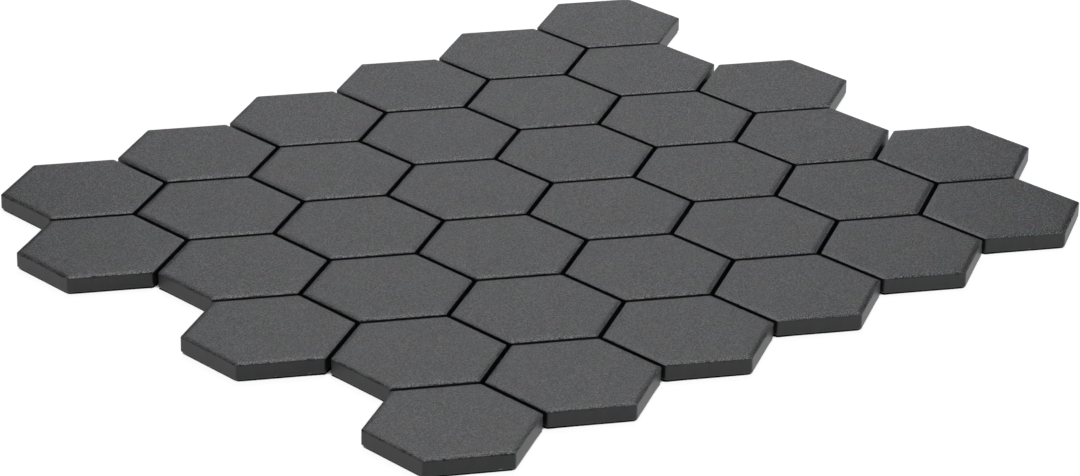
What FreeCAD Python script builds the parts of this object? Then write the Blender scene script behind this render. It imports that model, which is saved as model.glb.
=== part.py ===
import FreeCAD, Part
import math
import os

"""Mosaic sheet of hexagon floor tiles.

Unglazed porcelain hexagons lie in rows, each row shifted by half a tile, with an open grout joint between
them. A glass-fibre net glued across their backs holds them together. Millimetres, +Z up, net down.
The origin is the centre of the sheet, on the surface that it lies on. +X runs along the rows.
"""

# Tile
TILE_FLATS = 52.4        # between opposite sides
TILE_THICKNESS = 6.0     # from the back to the flat of the face
CORNER_RADIUS = 0.9      # on the six upright corners
CORNER_FLATS = 3         # flats that stand for each of those curves
CUSHION_WIDTH = 2.6      # band round the face that curves down to the sides
CUSHION_DROP = 0.5       # how far that band falls
CUSHION_FLATS = 3        # flats that stand for the band's curve
CUSHION_OVERRUN = 1.4    # the press's curve runs on past the side by this share
BACK_BEVEL = 0.3         # round the edge of the back

# Slots pressed into the back of each tile, which key it to the mortar
SLOT_COUNT = 5
SLOT_PITCH = 7.5
SLOT_WIDTH = 3.0
SLOT_DEPTH = 0.4
SLOT_BORDER = 5.0        # plain rim between the slots' ends and the tile's sides

# Sheet
COLUMNS = 6
ROWS = 6
JOINT = 1.8              # gap left for the grout

# Net: cross yarns lie on the tiles' backs, and long yarns lie on the cross yarns
NET_PITCH = 9.0          # between neighbouring yarns
YARN_WIDTH = 1.0
YARN_THICKNESS = 0.2
NET_INSET = 4.0          # the net stops this far inside the outer tiles' sides
SHORTEST_YARN = 5.0      # shorter ends drop off when the net is trimmed

# Worked out from the sizes above
HEX_SIDES = 6
SIDE_TURN = 360 / HEX_SIDES
TILE_PITCH = TILE_FLATS + JOINT
ROW_PITCH = TILE_PITCH * math.sin(math.radians(SIDE_TURN))
BACK_LEVEL = 2 * YARN_THICKNESS
FIRST_X = -((COLUMNS - 1) * TILE_PITCH + TILE_PITCH / 2) / 2
FIRST_Y = -(ROWS - 1) * ROW_PITCH / 2
UP = FreeCAD.Vector(0, 0, 1)


def direction(degrees):
    """Level unit vector, turned from +X."""
    angle = math.radians(degrees)
    return FreeCAD.Vector(math.cos(angle), math.sin(angle), 0)


def hexagon(flats, centre):
    """Flat hexagon with two sides square to X."""
    corner_reach = flats / 2 / math.cos(math.radians(SIDE_TURN / 2))
    corners = [centre + direction(SIDE_TURN * (n + 0.5)) * corner_reach for n in range(HEX_SIDES)]
    return Part.Face(Part.makePolygon(corners + corners[:1]))


def straight_body():
    """Six straight sides with the upright corners rounded in flats."""
    to_middle = (TILE_FLATS / 2 - CORNER_RADIUS) / math.cos(math.radians(SIDE_TURN / 2))
    points = []
    for corner in range(HEX_SIDES):
        middle = direction(SIDE_TURN * (corner + 0.5)) * to_middle
        for n in range(CORNER_FLATS + 1):
            facing = SIDE_TURN * (corner + n / CORNER_FLATS)
            points.append(middle + direction(facing) * CORNER_RADIUS)
    return Part.Face(Part.makePolygon(points + points[:1])).extrude(UP * TILE_THICKNESS)


def press_bar(turn):
    """Long bar with the cushioned top edges and bevelled bottom edges of two opposite sides of a tile."""
    radius = (CUSHION_WIDTH ** 2 + CUSHION_DROP ** 2) / (2 * CUSHION_DROP)
    at_side = math.asin(CUSHION_WIDTH / radius)
    past_side = CUSHION_OVERRUN * at_side
    flat_half = TILE_FLATS / 2 - CUSHION_WIDTH
    back_half = TILE_FLATS / 2 - BACK_BEVEL

    half_section = [(back_half, 0)]
    for n in range(CUSHION_FLATS, -1, -1):
        angle = past_side * n / CUSHION_FLATS
        x = flat_half + radius * math.sin(angle)
        z = TILE_THICKNESS - radius * (1 - math.cos(angle))
        half_section.append((x, z))
    outermost = half_section[1][0]
    half_section.insert(1, (outermost, outermost - back_half))

    other_half = [(-x, z) for x, z in reversed(half_section)]
    points = [FreeCAD.Vector(x, -TILE_FLATS, z) for x, z in half_section + other_half]
    bar = Part.Face(Part.makePolygon(points + points[:1])).extrude(FreeCAD.Vector(0, 2 * TILE_FLATS, 0))
    bar.rotate(FreeCAD.Vector(), UP, turn)
    return bar


def back_slots():
    """Parallel slots that stop at the rim of the back."""
    field = hexagon(TILE_FLATS - 2 * SLOT_BORDER, FreeCAD.Vector()).extrude(UP * SLOT_DEPTH)
    slots = []
    for n in range(SLOT_COUNT):
        middle = (n - (SLOT_COUNT - 1) / 2) * SLOT_PITCH
        start = FreeCAD.Vector(-TILE_FLATS, middle - SLOT_WIDTH / 2, 0)
        slots.append(field.common(Part.makeBox(2 * TILE_FLATS, SLOT_WIDTH, SLOT_DEPTH, start)))
    return slots


def tile():
    """One tile, with its back at z 0 and its middle on the Z axis."""
    shape = straight_body()
    for n in range(HEX_SIDES // 2):
        shape = shape.common(press_bar(SIDE_TURN * n))
    return shape.cut(Part.makeCompound(back_slots())).Solids[0]


def tile_centre(row, column):
    """Every second row is shifted by half a tile."""
    shift = TILE_PITCH / 2 if row % 2 else 0
    return FreeCAD.Vector(FIRST_X + column * TILE_PITCH + shift, FIRST_Y + row * ROW_PITCH, 0)


def net_outline():
    """The sheet's stepped outline with the joints closed, drawn in to where the net is trimmed."""
    cells = [
        hexagon(TILE_PITCH, tile_centre(row, column))
        for row in range(ROWS)
        for column in range(COLUMNS)
    ]
    field = cells[0].multiFuse(cells[1:]).removeSplitter().Faces[0]
    return field.makeOffset2D(-(NET_INSET + JOINT / 2), join=2)  # join 2 keeps the corners sharp


def yarns(outline, along_x, level):
    """Parallel yarns of one direction, cut to the outline, with their undersides at the level."""
    room = outline.BoundBox
    reach = room.YLength if along_x else room.XLength
    count = int(reach / NET_PITCH) + 1
    block = outline.extrude(UP * YARN_THICKNESS)
    block.translate(UP * level)
    kept = []
    for n in range(count):
        start = (n - (count - 1) / 2) * NET_PITCH - YARN_WIDTH / 2
        if along_x:
            corner = FreeCAD.Vector(room.XMin, start, level)
            strip = Part.makeBox(room.XLength, YARN_WIDTH, YARN_THICKNESS, corner)
        else:
            corner = FreeCAD.Vector(start, room.YMin, level)
            strip = Part.makeBox(YARN_WIDTH, room.YLength, YARN_THICKNESS, corner)
        for piece in block.common(strip).Solids:
            if max(piece.BoundBox.XLength, piece.BoundBox.YLength) >= SHORTEST_YARN:
                kept.append(piece)
    return Part.makeCompound(kept)


def build():
    """Every piece of the sheet by name."""
    pieces = {}
    one_tile = tile()
    for row in range(ROWS):
        for column in range(COLUMNS):
            place = tile_centre(row, column) + UP * BACK_LEVEL
            pieces[f"tile_row{row + 1}_no{column + 1}"] = one_tile.translated(place)
    outline = net_outline()
    pieces["net_long_yarns"] = yarns(outline, True, 0)
    pieces["net_cross_yarns"] = yarns(outline, False, YARN_THICKNESS)
    return pieces


os.makedirs("parts", exist_ok=True)
for name, shape in build().items():
    shape.exportStep(f"parts/{name}.step")
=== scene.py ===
"""Looks of a mosaic sheet of unglazed porcelain hexagon tiles, lying on a white floor.

Everything is in metres in the part's own frame: +X along the rows, +Z up, the floor at z 0.
"""

import math

import bmesh
import bpy
from mathutils import Matrix, Vector, noise


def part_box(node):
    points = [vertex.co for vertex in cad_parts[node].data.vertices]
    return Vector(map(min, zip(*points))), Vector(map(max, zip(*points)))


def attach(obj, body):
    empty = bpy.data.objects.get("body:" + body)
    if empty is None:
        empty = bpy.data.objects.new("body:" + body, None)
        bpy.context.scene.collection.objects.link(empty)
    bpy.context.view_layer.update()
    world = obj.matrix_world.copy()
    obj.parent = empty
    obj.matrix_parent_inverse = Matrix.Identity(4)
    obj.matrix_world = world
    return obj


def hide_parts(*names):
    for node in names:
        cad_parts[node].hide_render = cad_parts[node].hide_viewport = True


MM = 0.001
ROWS = 6
COLUMNS = 6
HEX_SIDES = 6
SIDE_TURN = math.radians(360 / HEX_SIDES)

# Tile, at the sizes of the part's own source
CORNER_RADIUS = 0.9 * MM
CUSHION_WIDTH = 2.6 * MM
CUSHION_DROP = 0.5 * MM
BACK_BEVEL = 0.3 * MM
SLOT_COUNT = 5
SLOT_PITCH = 7.5 * MM
SLOT_WIDTH = 3.0 * MM
SLOT_DEPTH = 0.4 * MM
SLOT_BORDER = 5.0 * MM

# Finer than the source
CORNER_SEGMENTS = 5
SIDE_SEGMENTS = 72             # along each side, close enough together for worn spots and chips
ARRIS_RADIUS = 0.08 * MM       # where the cushioned band meets the side
SLOT_ROUNDING = 0.12 * MM      # on the rims of the slots
ROUNDING_SEGMENTS = 2
TINY = 0.01 * MM               # closer than this counts as touching

# How the faces of a tile are told apart
UPRIGHT = 0.1                  # the normal of an upright face rises or falls by less
FACING_UP = 0.5                # the normal of the face and its band rises by more
LEVEL = 0.99                   # the normal of a level face rises or falls by more
FLAT_AREA = 20 * MM ** 2       # a face larger than this is shaded flat

# Rings round a tile's edge; for the worn ones, the distance in from the side and the share of wear and
# painted light
CHIPPED_HEIGHT = 0.75 * MM     # chips stay below it
UNWORN_DEPTH = 0.45 * MM       # below the arris, where the side is straight
WORN_AND_PAINTED_BAND = ((ARRIS_RADIUS, 1.0), (2 * ARRIS_RADIUS, 0.9), (0.45 * MM, 0.4), (0.9 * MM, 0.0))
PLAIN_BAND = (0.5, 0.68, 0.84, 1.0)    # shares of the band's width
FACE_RIM = 0.4 * MM            # level ring inside the band

# Wear of the arris
RUB_DEPTH = 0.03 * MM
RUB_LENGTH = 2.5 * MM          # from one rubbed stretch to the next
PIT_DEPTH = 0.5 * MM
PIT_LENGTH = 0.8 * MM          # from one pit to the next
PIT_LEVEL = 0.3                # of the noise, above which there is a pit
PIT_START = Vector((3.7, 1.9, 5.3))
PAINTED_GLINT_SIDE = 4                 # the side whose cushion has painted glints on it

# Chips knocked out of the back edge: row, number, side that it is on, place along it, size
CHIPS = (
    (1, 1, 4, 0.335, 0.8 * MM),
    (1, 1, 4, 0.37, 0.4 * MM),
    (3, 1, 4, 0.32, 0.7 * MM),
    (3, 1, 4, -0.06, 0.5 * MM),
    (1, 6, 4, 0.06, 0.5 * MM),
)
CHIP_HOLLOW = 0.06             # depth of a chip for its size
CHIP_FLATNESS = 2.5            # how much longer a chip is than high
CHIP_LIFT = 0.5                # how far its points rise for each step inwards
CHIP_FILL = 1.5                # how soon it is fully pale towards its middle

# Net
YARN_SIDES = 8
YARN_STEP = 4.5 * MM
YARN_WANDER = 0.15 * MM
YARN_NARROWING = 0.1           # mean share that is missing from the width, and how far it varies
WANDER_LENGTH = 14 * MM
WANDER_APART = 7               # makes neighbouring yarns wander differently

# Real sizes of the patterns on the surfaces
GRIT = 0.26 * MM               # grains of the granulate that stand up from a face
BROKEN_GRAIN = 0.5 * MM        # pits along the arris, painted near black: painted shade in them
TINT_DRIFT = 5.0 * MM          # slow change of a face's colour
DIE_GRAIN = 0.25 * MM          # relief of the sides
DIE_CLOUD = 2.0 * MM           # cloudy stripes on the sides
FILAMENT = 0.07 * MM           # coarser than the real 0.01 mm, so that it shows
ALONG_YARN = 0.03              # scale of the filaments' pattern along them, which draws it out

# Camera, from a fit to the middle lines of the joints and the feet of the near sides in the photograph
CAMERA_AZIMUTH = math.radians(-41.6346)
CAMERA_ELEVATION = math.radians(22.1861)
CAMERA_ROLL = math.radians(0.3293)
CAMERA_DISTANCE = 1.48031
CAMERA_TARGET = Vector((-0.00362, 0.06529, 0.0059))
CAMERA_SHIFT = (0.1157, -0.0813)   # the photograph is cut out of a larger one, off its middle
LENS = 130.042
SENSOR = 36.0

# Lamps: name, plan angle and height in degrees, distance, width and height in metres, watts
LAMPS = (
    ("softbox_high_behind", 51, 57, 1.4, 0.8, 0.8, 6.9),
    ("card_low_behind", 47, 19, 1.4, 0.84, 0.22, 1.12),
    ("strip_low_right", 312, 10, 1.2, 1.2, 0.35, 4.3),
    ("strip_low_left", 145, 12, 1.6, 1.6, 0.5, 0.6),
)
WORLD_LEVEL = 0.03

# Floor
FLOOR_HALF = 6.0
FLOOR_LEVEL = -0.2 * MM        # just clear of the net
SHUT_IN = 10 * MM              # how near the tiles have to be for its painted shade
BLACK_BELOW, WHITE_ABOVE = 0.27, 0.36   # open share of the view up from it
FLOOR_GLOW = 0.95              # its own white, where 1 is full white
FLOOR_LIT = 0.3                # tone that takes the lamps' light and the sheet's shadow
FLOOR_PLAIN = 0.8              # tone for the light that it throws back on the sheet

# Sockets of a Mix node that mixes colours
FACTOR, FIRST, SECOND, MIXED = 0, 6, 7, 2


def srgb(text):
    """Linear colour from an sRGB hex value."""
    parts = [int(text[n:n + 2], 16) / 255 for n in (1, 3, 5)]
    return tuple(c / 12.92 if c <= 0.04045 else ((c + 0.055) / 1.055) ** 2.4 for c in parts) + (1.0,)


def grain_scale(size):
    """Scale of a noise whose lumps are about this size across: a lump and a gap make one period."""
    return 1 / (2 * size)


def add_node(tree, kind, settings=None, inputs=None):
    """One node with its settings, and each input set to a value or linked to a socket."""
    node = tree.nodes.new(kind)
    for name, value in (settings or {}).items():
        setattr(node, name, value)
    for name, value in (inputs or {}).items():
        if isinstance(value, bpy.types.NodeSocket):
            tree.links.new(value, node.inputs[name])
        else:
            node.inputs[name].default_value = value
    return node


def new_material(name):
    """An empty node material and its tree."""
    material = bpy.data.materials.new(name)
    material.use_nodes = True
    material.node_tree.nodes.clear()
    return material, material.node_tree


def porcelain_face():
    """Unglazed through-coloured porcelain, dust-pressed and fired: a dry, sandy, dark grey face.

    The press leaves the grains of the granulate standing as fine grit, about a quarter of a millimetre
    across and from nearly black to pale grey, so the face looks matt and salted. The colour drifts a
    little between bluish, greenish and warm. Along the arris the grains are painted pale, partly as
    rubbed wear and partly as a painted highlight, and pits where some have broken out are painted near
    black as painted shade. On one side pale specks on the cushion are painted glints.
    """
    material, tree = new_material("unglazed_porcelain_face")
    place = add_node(tree, "ShaderNodeTexCoord").outputs["Object"]
    wear_and_painted_light = add_node(tree, "ShaderNodeAttribute", {"attribute_name": "wear_and_painted_light"}).outputs["Fac"]
    grains = add_node(
        tree, "ShaderNodeTexNoise",
        inputs={"Vector": place, "Scale": grain_scale(GRIT), "Detail": 2.0, "Roughness": 0.7},
    ).outputs["Fac"]
    dark_share = add_node(
        tree, "ShaderNodeMapRange", inputs={"Value": grains, "From Min": 0.52, "From Max": 0.44}
    ).outputs["Result"]
    body = add_node(
        tree, "ShaderNodeMix", {"data_type": "RGBA"},
        {FACTOR: dark_share, FIRST: srgb("#3C3D42"), SECOND: srgb("#17181A")},
    ).outputs[MIXED]
    # Along the arris the grains are painted pale: partly rubbed wear, partly a painted highlight.
    rubbed_and_highlit = add_node(
        tree, "ShaderNodeMath", {"operation": "MULTIPLY_ADD"}, {0: wear_and_painted_light, 1: 0.12, 2: grains}
    ).outputs["Value"]
    pale_share = add_node(
        tree, "ShaderNodeMapRange", inputs={"Value": rubbed_and_highlit, "From Min": 0.50, "From Max": 0.60}
    ).outputs["Result"]
    body = add_node(
        tree, "ShaderNodeMix", {"data_type": "RGBA"},
        {FACTOR: pale_share, FIRST: body, SECOND: srgb("#7C7E84")},
    ).outputs[MIXED]
    # Pits along the arris painted near black: painted shade in them.
    pits = add_node(
        tree, "ShaderNodeTexNoise",
        inputs={"Vector": place, "Scale": grain_scale(BROKEN_GRAIN), "Detail": 1.0, "Roughness": 0.5},
    ).outputs["Fac"]
    pits = add_node(
        tree, "ShaderNodeMapRange", inputs={"Value": pits, "From Min": 0.62, "From Max": 0.68}
    ).outputs["Result"]
    pit_shade_share = add_node(
        tree, "ShaderNodeMath", {"operation": "MULTIPLY"}, {0: wear_and_painted_light, 1: pits}
    ).outputs["Value"]
    body = add_node(
        tree, "ShaderNodeMix", {"data_type": "RGBA"},
        {FACTOR: pit_shade_share, FIRST: body, SECOND: srgb("#0A0A0A")},
    ).outputs[MIXED]
    # Pale specks on one side's cushion: painted glints.
    painted_glints = add_node(tree, "ShaderNodeAttribute", {"attribute_name": "painted_glints"}).outputs["Fac"]
    glint_specks = add_node(
        tree, "ShaderNodeMapRange", inputs={"Value": grains, "From Min": 0.55, "From Max": 0.62}
    ).outputs["Result"]
    glint_share = add_node(
        tree, "ShaderNodeMath", {"operation": "MULTIPLY"}, {0: painted_glints, 1: glint_specks}
    ).outputs["Value"]
    body = add_node(
        tree, "ShaderNodeMix", {"data_type": "RGBA"},
        {FACTOR: glint_share, FIRST: body, SECOND: srgb("#D2D4D4")},
    ).outputs[MIXED]
    clouds = add_node(
        tree, "ShaderNodeTexNoise",
        inputs={"Vector": place, "Scale": grain_scale(TINT_DRIFT), "Detail": 2.0, "Roughness": 0.5},
    ).outputs["Color"]
    body = add_node(
        tree, "ShaderNodeMix", {"data_type": "RGBA", "blend_type": "SOFT_LIGHT"},
        {FACTOR: 0.35, FIRST: body, SECOND: clouds},
    ).outputs[MIXED]
    relief = add_node(
        tree, "ShaderNodeBump", inputs={"Strength": 1.0, "Distance": 0.07 * MM, "Height": grains}
    ).outputs["Normal"]
    shader = add_node(
        tree, "ShaderNodeBsdfPrincipled",
        inputs={"Base Color": body, "Roughness": 0.4, "IOR": 1.5, "Normal": relief},
    )
    add_node(tree, "ShaderNodeOutputMaterial", inputs={"Surface": shader.outputs["BSDF"]})
    return material


def porcelain_side():
    """The same porcelain where it slid along the die: smooth and denser, with faint cloudy stripes.

    Under the arris the side is painted paler: partly worn, partly a painted highlight. Where the edge is
    chipped it is painted near white.
    """
    material, tree = new_material("unglazed_porcelain_side")
    place = add_node(tree, "ShaderNodeTexCoord").outputs["Object"]
    fine = add_node(
        tree, "ShaderNodeTexNoise",
        inputs={"Vector": place, "Scale": grain_scale(DIE_GRAIN), "Detail": 2.0, "Roughness": 0.6},
    ).outputs["Fac"]
    drawn_out = add_node(
        tree, "ShaderNodeMapping", inputs={"Vector": place, "Scale": (1, 1, 0.4)}
    ).outputs["Vector"]
    clouds = add_node(
        tree, "ShaderNodeTexNoise",
        inputs={"Vector": drawn_out, "Scale": grain_scale(DIE_CLOUD), "Detail": 3.0, "Roughness": 0.6},
    ).outputs["Fac"]
    tint = add_node(
        tree, "ShaderNodeMapRange", inputs={"Value": clouds, "From Min": 0.35, "From Max": 0.65}
    ).outputs["Result"]
    body = add_node(
        tree, "ShaderNodeMix", {"data_type": "RGBA"},
        {FACTOR: tint, FIRST: srgb("#373939"), SECOND: srgb("#454547")},
    ).outputs[MIXED]
    wear_and_painted_light = add_node(tree, "ShaderNodeAttribute", {"attribute_name": "wear_and_painted_light"}).outputs["Fac"]
    # The side's rim under the arris painted paler: partly worn, partly a painted highlight.
    body = add_node(
        tree, "ShaderNodeMix", {"data_type": "RGBA"},
        {FACTOR: wear_and_painted_light, FIRST: body, SECOND: srgb("#68696A")},
    ).outputs[MIXED]
    # Chipped spots near the foot painted near white.
    chip = add_node(tree, "ShaderNodeAttribute", {"attribute_name": "chip"}).outputs["Fac"]
    body = add_node(
        tree, "ShaderNodeMix", {"data_type": "RGBA"},
        {FACTOR: chip, FIRST: body, SECOND: srgb("#F0F0EC")},
    ).outputs[MIXED]
    relief = add_node(
        tree, "ShaderNodeBump", inputs={"Strength": 0.5, "Distance": 0.012 * MM, "Height": fine}
    ).outputs["Normal"]
    shader = add_node(
        tree, "ShaderNodeBsdfPrincipled",
        inputs={"Base Color": body, "Roughness": 0.45, "IOR": 1.5, "Normal": relief},
    )
    add_node(tree, "ShaderNodeOutputMaterial", inputs={"Surface": shader.outputs["BSDF"]})
    return material


def glass_fibre(name, stretch):
    """Black-coated glass-fibre yarn: a flat bundle of filaments, with a soft sheen along them."""
    material, tree = new_material(name)
    place = add_node(tree, "ShaderNodeTexCoord").outputs["Object"]
    drawn_out = add_node(
        tree, "ShaderNodeMapping", inputs={"Vector": place, "Scale": stretch}
    ).outputs["Vector"]
    filaments = add_node(
        tree, "ShaderNodeTexNoise",
        inputs={"Vector": drawn_out, "Scale": grain_scale(FILAMENT), "Detail": 2.0, "Roughness": 0.5},
    ).outputs["Fac"]
    share = add_node(
        tree, "ShaderNodeMapRange", inputs={"Value": filaments, "From Min": 0.35, "From Max": 0.65}
    ).outputs["Result"]
    body = add_node(
        tree, "ShaderNodeMix", {"data_type": "RGBA"},
        {FACTOR: share, FIRST: srgb("#161617"), SECOND: srgb("#2C2D2F")},
    ).outputs[MIXED]
    relief = add_node(
        tree, "ShaderNodeBump", inputs={"Strength": 0.8, "Distance": 0.03 * MM, "Height": filaments}
    ).outputs["Normal"]
    shader = add_node(
        tree, "ShaderNodeBsdfPrincipled",
        inputs={"Base Color": body, "Roughness": 0.45, "IOR": 1.5, "Normal": relief},
    )
    add_node(tree, "ShaderNodeOutputMaterial", inputs={"Surface": shader.outputs["BSDF"]})
    return material


def new_piece(name, bm, materials):
    """An object made from a bmesh, with its place in its mesh."""
    mesh = bpy.data.meshes.new(name)
    bm.to_mesh(mesh)
    bm.free()
    for material in materials:
        mesh.materials.append(material)
    piece = bpy.data.objects.new(name, mesh)
    bpy.context.scene.collection.objects.link(piece)
    return piece


def facing(side):
    """Level direction that one of a tile's six sides faces."""
    return Vector((math.cos(SIDE_TURN * side), math.sin(SIDE_TURN * side), 0))


def cushion_height(inset, thickness):
    """Height of the face at a distance in from the side."""
    radius = (CUSHION_WIDTH ** 2 + CUSHION_DROP ** 2) / (2 * CUSHION_DROP)
    out = CUSHION_WIDTH - inset
    return thickness - (radius - math.sqrt(radius ** 2 - out ** 2))


def tile_rings(thickness):
    """Rings round a tile from its back to its face: distance in from the side, height, share of wear and
    painted light.
    """
    arris = cushion_height(0, thickness)
    rings = [
        (BACK_BEVEL, 0.0, 0.0),
        (0.0, BACK_BEVEL, 0.0),
        (0.0, CHIPPED_HEIGHT, 0.0),
        (0.0, thickness / 2, 0.0),
        (0.0, arris - UNWORN_DEPTH, 0.0),
        (0.0, arris - 2 * ARRIS_RADIUS, 0.0),
        (0.0, arris - ARRIS_RADIUS, 0.7),
        (0.35 * ARRIS_RADIUS, arris - 0.25 * ARRIS_RADIUS, 1.0),
    ]
    for inset, wear_and_painted_light in WORN_AND_PAINTED_BAND + tuple((share * CUSHION_WIDTH, 0.0) for share in PLAIN_BAND):
        rings.append((inset, cushion_height(inset, thickness), wear_and_painted_light))
    rings.append((CUSHION_WIDTH + FACE_RIM, thickness, 0.0))
    return rings


def back_outline(bm, half_flats):
    """The back: a hexagon with two sides square to X, rounded corners and close points along its sides."""
    bmesh.ops.create_circle(
        bm, cap_ends=True, segments=HEX_SIDES, radius=half_flats / math.cos(SIDE_TURN / 2)
    )
    bmesh.ops.bevel(
        bm, geom=list(bm.verts), offset=CORNER_RADIUS * math.tan(SIDE_TURN / 2), offset_type="OFFSET",
        segments=CORNER_SEGMENTS, profile=0.5, affect="VERTICES", material=-1,
    )
    longest = max(edge.calc_length() for edge in bm.edges)
    sides = [edge for edge in bm.edges if edge.calc_length() > longest / 2]
    bmesh.ops.subdivide_edges(bm, edges=sides, cuts=SIDE_SEGMENTS - 1)
    return list(bm.faces)


def draw_up(bm, face, rings, half_flats):
    """The back's outline drawn up through the rings, which leaves the face closed by one flat."""
    wear_and_painted_light = bm.verts.layers.float["wear_and_painted_light"]
    for (inset, height, _), (next_inset, next_height, next_wear_and_painted_light) in zip(rings, rings[1:]):
        drawn = bmesh.ops.extrude_face_region(bm, geom=face)["geom"]
        if height > 0:
            bmesh.ops.delete(bm, geom=face, context="FACES_ONLY")
        face = [part for part in drawn if isinstance(part, bmesh.types.BMFace)]
        corners = [part for part in drawn if isinstance(part, bmesh.types.BMVert)]
        share = (half_flats - next_inset) / (half_flats - inset)
        bmesh.ops.scale(bm, vec=(share, share, 1), verts=corners)
        bmesh.ops.translate(bm, vec=(0, 0, next_height - height), verts=corners)
        for corner in corners:
            corner[wear_and_painted_light] = next_wear_and_painted_light


def back_parts(bm):
    """Points, edges and faces that lie in the plane of the back."""
    verts = [vert for vert in bm.verts if vert.co.z < TINY]
    edges = [edge for edge in bm.edges if all(vert.co.z < TINY for vert in edge.verts)]
    faces = [face for face in bm.faces if all(vert.co.z < TINY for vert in face.verts)]
    return verts, edges, faces


def press_slots(bm, half_flats):
    """Parallel slots pushed up into the back, which stop short of its rim."""
    half_field = half_flats - SLOT_BORDER
    middles = [(n - (SLOT_COUNT - 1) / 2) * SLOT_PITCH for n in range(SLOT_COUNT)]
    cuts = [(facing(side) * half_field, facing(side)) for side in range(HEX_SIDES)]
    for middle in middles:
        for rim in (middle - SLOT_WIDTH / 2, middle + SLOT_WIDTH / 2):
            cuts.append((Vector((0, rim, 0)), Vector((0, 1, 0))))
    for point, normal in cuts:
        verts, edges, faces = back_parts(bm)
        bmesh.ops.bisect_plane(bm, geom=verts + edges + faces, plane_co=point, plane_no=normal)

    inside = []
    for face in back_parts(bm)[2]:
        centre = face.calc_center_median()
        in_field = all(centre.dot(facing(side)) < half_field for side in range(HEX_SIDES))
        if in_field and any(abs(centre.y - middle) < SLOT_WIDTH / 2 for middle in middles):
            inside.append(face)
    drawn = bmesh.ops.extrude_face_region(bm, geom=inside)["geom"]
    bmesh.ops.delete(bm, geom=[face for face in inside if face.is_valid], context="FACES_ONLY")
    floors = [part for part in drawn if isinstance(part, bmesh.types.BMVert)]
    bmesh.ops.translate(bm, vec=(0, 0, SLOT_DEPTH), verts=floors)
    bm.normal_update()
    rims = [
        edge for edge in back_parts(bm)[1]
        if any(abs(face.normal.z) < UPRIGHT for face in edge.link_faces)
    ]
    bmesh.ops.bevel(
        bm, geom=rims, offset=SLOT_ROUNDING, offset_type="OFFSET", segments=ROUNDING_SEGMENTS,
        profile=0.5, affect="EDGES", material=-1,
    )


def paint_glints(bm, half_flats):
    """Painted glints on the cushion of one side: a share that thins out towards the face."""
    painted_glints = bm.verts.layers.float["painted_glints"]
    for vert in bm.verts:
        reach = [vert.co.dot(facing(side)) for side in range(HEX_SIDES)]
        if reach[PAINTED_GLINT_SIDE] == max(reach):
            inset = half_flats - reach[PAINTED_GLINT_SIDE]
            vert[painted_glints] = max(0.0, 1 - inset / CUSHION_WIDTH)


def tile_blank(size):
    """One perfect tile as a bmesh, with its back at z 0 and its middle on the Z axis."""
    bm = bmesh.new()
    for layer in ("wear_and_painted_light", "chip", "painted_glints"):
        bm.verts.layers.float.new(layer)
    half_flats = size.x / 2
    rings = tile_rings(size.z)
    draw_up(bm, back_outline(bm, half_flats - BACK_BEVEL), rings, half_flats)
    press_slots(bm, half_flats)
    paint_glints(bm, half_flats)
    bmesh.ops.recalc_face_normals(bm, faces=bm.faces)
    for face in bm.faces:
        slot_wall = abs(face.normal.z) < UPRIGHT and face.calc_center_median().z < BACK_BEVEL
        face.smooth = face.calc_area() < FLAT_AREA and face.normal.z > -LEVEL and not slot_wall
        face.material_index = 0 if face.normal.z > FACING_UP else 1
    return bm


def wear_arris(bm, middle):
    """The arris rubbed in long stretches and pitted: its points move in towards the middle, and down."""
    share = bm.verts.layers.float["wear_and_painted_light"]
    for vert in bm.verts:
        if vert[share] > 0:
            rub = 0.5 + 0.5 * noise.noise(vert.co / RUB_LENGTH)
            pit = max(0.0, noise.noise(vert.co / PIT_LENGTH + PIT_START) - PIT_LEVEL)
            depth = vert[share] * (RUB_DEPTH * rub + PIT_DEPTH * pit)
            inward = middle - vert.co
            inward.z = 0
            vert.co += inward.normalized() * depth - Vector((0, 0, depth))


def chip_edge(bm, place, inward, size):
    """A small shell broken out of the back edge at a place on it."""
    chip = bm.verts.layers.float["chip"]
    for vert in bm.verts:
        apart = vert.co - place
        apart.z *= CHIP_FLATNESS
        reach = 1 - (apart.length / size) ** 2
        if reach > 0:
            hollow = reach * CHIP_HOLLOW * size * (0.8 + 0.5 * noise.noise(vert.co / PIT_LENGTH))
            vert.co += inward * hollow
            vert.co.z += CHIP_LIFT * hollow
            if apart.z > 0:
                vert[chip] = min(1.0, CHIP_FILL * reach)


def make_tile(row, number, blank, materials):
    """One tile of the sheet in place of its solid."""
    node = f"tile_row{row}_no{number}"
    low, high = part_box(node)
    middle = (low + high) / 2
    bm = blank.copy()
    bmesh.ops.translate(bm, vec=(middle.x, middle.y, low.z), verts=bm.verts)
    wear_arris(bm, middle)
    half_flats = (high.x - low.x) / 2
    side_length = 2 * half_flats * math.tan(SIDE_TURN / 2)
    for chip_row, chip_number, side, along, chip_size in CHIPS:
        if (chip_row, chip_number) == (row, number):
            outward = facing(side)
            tangent = Vector((-outward.y, outward.x, 0))
            place = Vector((middle.x, middle.y, low.z + BACK_BEVEL / 2))
            place += outward * half_flats + tangent * along * side_length
            chip_edge(bm, place, -outward, chip_size)
    piece = new_piece(f"porcelain_row{row}_no{number}", bm, materials)
    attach(piece, "root")
    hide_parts(node)


def yarn_boxes(solids):
    """Lowest and highest corners of each separate yarn in a node."""
    bm = bmesh.new()
    bm.from_mesh(solids.data)
    bmesh.ops.remove_doubles(bm, verts=bm.verts, dist=TINY)
    boxes = []
    for vert in bm.verts:
        if vert.tag:
            continue
        vert.tag = True
        yarn = [vert]
        for known in yarn:
            for edge in known.link_edges:
                other = edge.other_vert(known)
                if not other.tag:
                    other.tag = True
                    yarn.append(other)
        low = Vector([min(part.co[axis] for part in yarn) for axis in range(3)])
        high = Vector([max(part.co[axis] for part in yarn) for axis in range(3)])
        boxes.append((low, high))
    bm.free()
    return boxes


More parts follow.
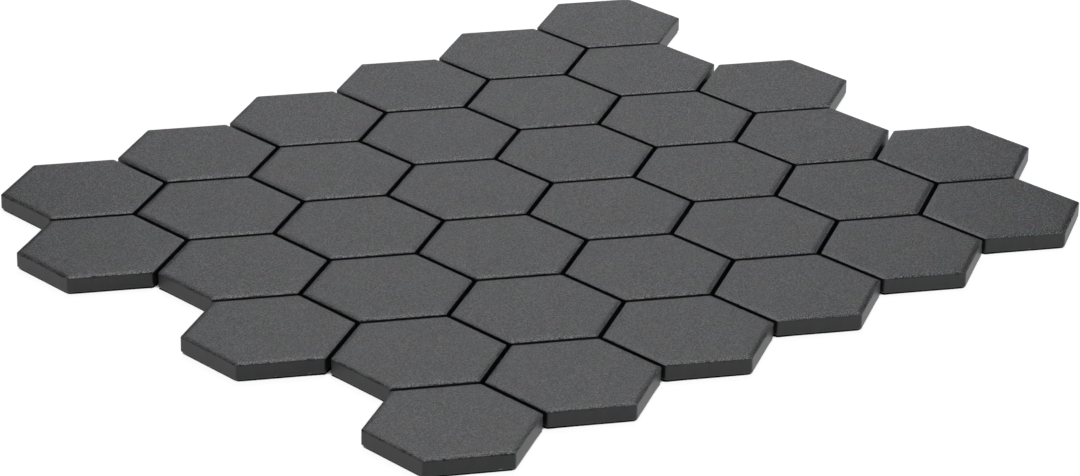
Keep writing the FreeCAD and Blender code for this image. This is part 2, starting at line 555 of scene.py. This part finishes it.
def add_yarn(bm, low, high, along, across):
    """One yarn: a flat oval bundle that wanders a little and isn't everywhere as wide."""
    length = high[along] - low[along]
    middle = (low + high) / 2
    sizes = (high.z - low.z, high[across] - low[across], length)
    turn = Matrix.Rotation(math.radians(90), 4, "Y")
    if along == 1:
        turn = Matrix.Rotation(math.radians(90), 4, "Z") @ turn
    place = Matrix.Translation(middle) @ turn @ Matrix.Diagonal((*sizes, 1))
    verts_before, edges_before = len(bm.verts), len(bm.edges)
    bmesh.ops.create_cone(
        bm, cap_ends=True, segments=YARN_SIDES, radius1=0.5, radius2=0.5, depth=1, matrix=place
    )
    bm.edges.ensure_lookup_table()
    long_edges = [edge for edge in bm.edges[edges_before:] if edge.calc_length() > 0.9 * length]
    bmesh.ops.subdivide_edges(bm, edges=long_edges, cuts=max(1, round(length / YARN_STEP)))
    bm.verts.ensure_lookup_table()
    for vert in bm.verts[verts_before:]:
        at = Vector((vert.co[along] / WANDER_LENGTH, middle[across] / WANDER_LENGTH * WANDER_APART, along))
        width = 1 - YARN_NARROWING + YARN_NARROWING * noise.noise(at * 2)
        vert.co[across] = middle[across] + (vert.co[across] - middle[across]) * width
        vert.co[across] += YARN_WANDER * noise.noise(at)


def make_net(node, name, along, material):
    """The yarns of one direction in place of their solids."""
    bm = bmesh.new()
    for low, high in yarn_boxes(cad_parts[node]):
        add_yarn(bm, low, high, along, 1 - along)
    bmesh.ops.recalc_face_normals(bm, faces=bm.faces)
    for face in bm.faces:
        face.smooth = len(face.verts) == 4
    piece = new_piece(name, bm, [material])
    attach(piece, "root")
    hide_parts(node)


def make_floor():
    """A plain white floor, which keeps the sheet's shadow.

    What the camera and reflections see of it is mostly its own white, so that it stays white in the
    picture, and it lights the sheet as a white surface does. Where the tiles shut it in, its white and
    its lit tone are painted dark: painted shade in the joints and under the tiles.
    """
    material, tree = new_material("white_floor")
    rays = add_node(tree, "ShaderNodeLightPath").outputs
    seen = add_node(
        tree, "ShaderNodeMath", {"operation": "MAXIMUM"},
        {0: rays["Is Camera Ray"], 1: rays["Is Glossy Ray"]},
    ).outputs["Value"]
    seen = add_node(
        tree, "ShaderNodeMath", {"operation": "MAXIMUM"}, {0: seen, 1: rays["Is Transmission Ray"]}
    ).outputs["Value"]
    # Where the tiles shut the floor in, its own white and its lit tone are painted dark: painted shade.
    open_share = add_node(tree, "ShaderNodeAmbientOcclusion", inputs={"Distance": SHUT_IN}).outputs["AO"]
    open_share = add_node(
        tree, "ShaderNodeMapRange",
        inputs={"Value": open_share, "From Min": BLACK_BELOW, "From Max": WHITE_ABOVE},
    ).outputs["Result"]
    tone = add_node(
        tree, "ShaderNodeMix", {"data_type": "RGBA"},
        {FACTOR: open_share, FIRST: (0, 0, 0, 1), SECOND: (1, 1, 1, 1)},
    ).outputs[MIXED]
    lit_tone = add_node(
        tree, "ShaderNodeMix", {"data_type": "RGBA"},
        {FACTOR: open_share, FIRST: (0, 0, 0, 1), SECOND: (FLOOR_LIT, FLOOR_LIT, FLOOR_LIT, 1)},
    ).outputs[MIXED]
    plain = add_node(
        tree, "ShaderNodeBsdfDiffuse", inputs={"Color": (FLOOR_PLAIN, FLOOR_PLAIN, FLOOR_PLAIN, 1)}
    ).outputs["BSDF"]
    lit = add_node(tree, "ShaderNodeBsdfDiffuse", inputs={"Color": lit_tone}).outputs["BSDF"]
    glow = add_node(
        tree, "ShaderNodeEmission", inputs={"Color": tone, "Strength": FLOOR_GLOW}
    ).outputs["Emission"]
    white = add_node(tree, "ShaderNodeAddShader", inputs={0: lit, 1: glow}).outputs["Shader"]
    shown = add_node(tree, "ShaderNodeMixShader", inputs={0: seen, 1: plain, 2: white}).outputs["Shader"]
    add_node(tree, "ShaderNodeOutputMaterial", inputs={"Surface": shown})

    bm = bmesh.new()
    bmesh.ops.create_grid(bm, x_segments=1, y_segments=1, size=FLOOR_HALF)
    bmesh.ops.translate(bm, vec=(0, 0, FLOOR_LEVEL), verts=bm.verts)
    new_piece("floor", bm, [material])


def away(azimuth, elevation):
    """Direction of something at a plan angle from +X and a height above the floor."""
    level = math.cos(elevation)
    return Vector((level * math.cos(azimuth), level * math.sin(azimuth), math.sin(elevation)))


def make_light():
    """A softbox and a card behind the sheet, a strip on each side of it, and a faint even surrounding."""
    for name, azimuth, elevation, distance, width, height, power in LAMPS:
        light = bpy.data.lights.new(name, "AREA")
        light.shape = "RECTANGLE"
        light.size, light.size_y = width, height
        light.energy = power
        lamp = bpy.data.objects.new(name, light)
        bpy.context.scene.collection.objects.link(lamp)
        towards = away(math.radians(azimuth), math.radians(elevation))
        lamp.location = towards * distance
        lamp.rotation_euler = towards.to_track_quat("Z", "Y").to_euler()

    world = bpy.data.worlds.new("studio")
    world.use_nodes = True
    world.node_tree.nodes.clear()
    background = add_node(
        world.node_tree, "ShaderNodeBackground", inputs={"Color": (1, 1, 1, 1), "Strength": WORLD_LEVEL}
    ).outputs["Background"]
    add_node(world.node_tree, "ShaderNodeOutputWorld", inputs={"Surface": background})
    bpy.context.scene.world = world


def make_camera():
    """A long lens from the front left corner, looking down at the sheet."""
    lens = bpy.data.cameras.new("camera")
    lens.lens = LENS
    lens.sensor_width = SENSOR
    lens.sensor_fit = "HORIZONTAL"
    lens.shift_x, lens.shift_y = CAMERA_SHIFT
    camera = bpy.data.objects.new("camera", lens)
    bpy.context.scene.collection.objects.link(camera)
    back = away(CAMERA_AZIMUTH - math.radians(90), CAMERA_ELEVATION)
    right = Vector((0, 0, 1)).cross(back).normalized()
    up = back.cross(right)
    turn = Matrix((right, up, back)).transposed() @ Matrix.Rotation(CAMERA_ROLL, 3, "Z")
    camera.matrix_world = Matrix.Translation(CAMERA_TARGET + back * CAMERA_DISTANCE) @ turn.to_4x4()
    bpy.context.scene.camera = camera


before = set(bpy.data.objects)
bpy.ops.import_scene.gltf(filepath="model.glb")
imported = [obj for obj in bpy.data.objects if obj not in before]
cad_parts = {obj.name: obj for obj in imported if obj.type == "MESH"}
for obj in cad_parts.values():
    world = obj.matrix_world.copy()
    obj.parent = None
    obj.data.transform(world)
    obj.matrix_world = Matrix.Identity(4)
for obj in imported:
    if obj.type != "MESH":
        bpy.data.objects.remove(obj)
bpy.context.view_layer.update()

first_low, first_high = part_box("tile_row1_no1")
tile = tile_blank(first_high - first_low)
finishes = [porcelain_face(), porcelain_side()]
for row in range(1, ROWS + 1):
    for number in range(1, COLUMNS + 1):
        make_tile(row, number, tile, finishes)
tile.free()
long_fibre = glass_fibre("coated_glass_yarn_x", (ALONG_YARN, 1, 1))
cross_fibre = glass_fibre("coated_glass_yarn_y", (1, ALONG_YARN, 1))
make_net("net_long_yarns", "glass_yarns_along_rows", 0, long_fibre)
make_net("net_cross_yarns", "glass_yarns_across_rows", 1, cross_fibre)

make_floor()
make_light()
make_camera()
bpy.context.scene.view_settings.view_transform = "Standard"
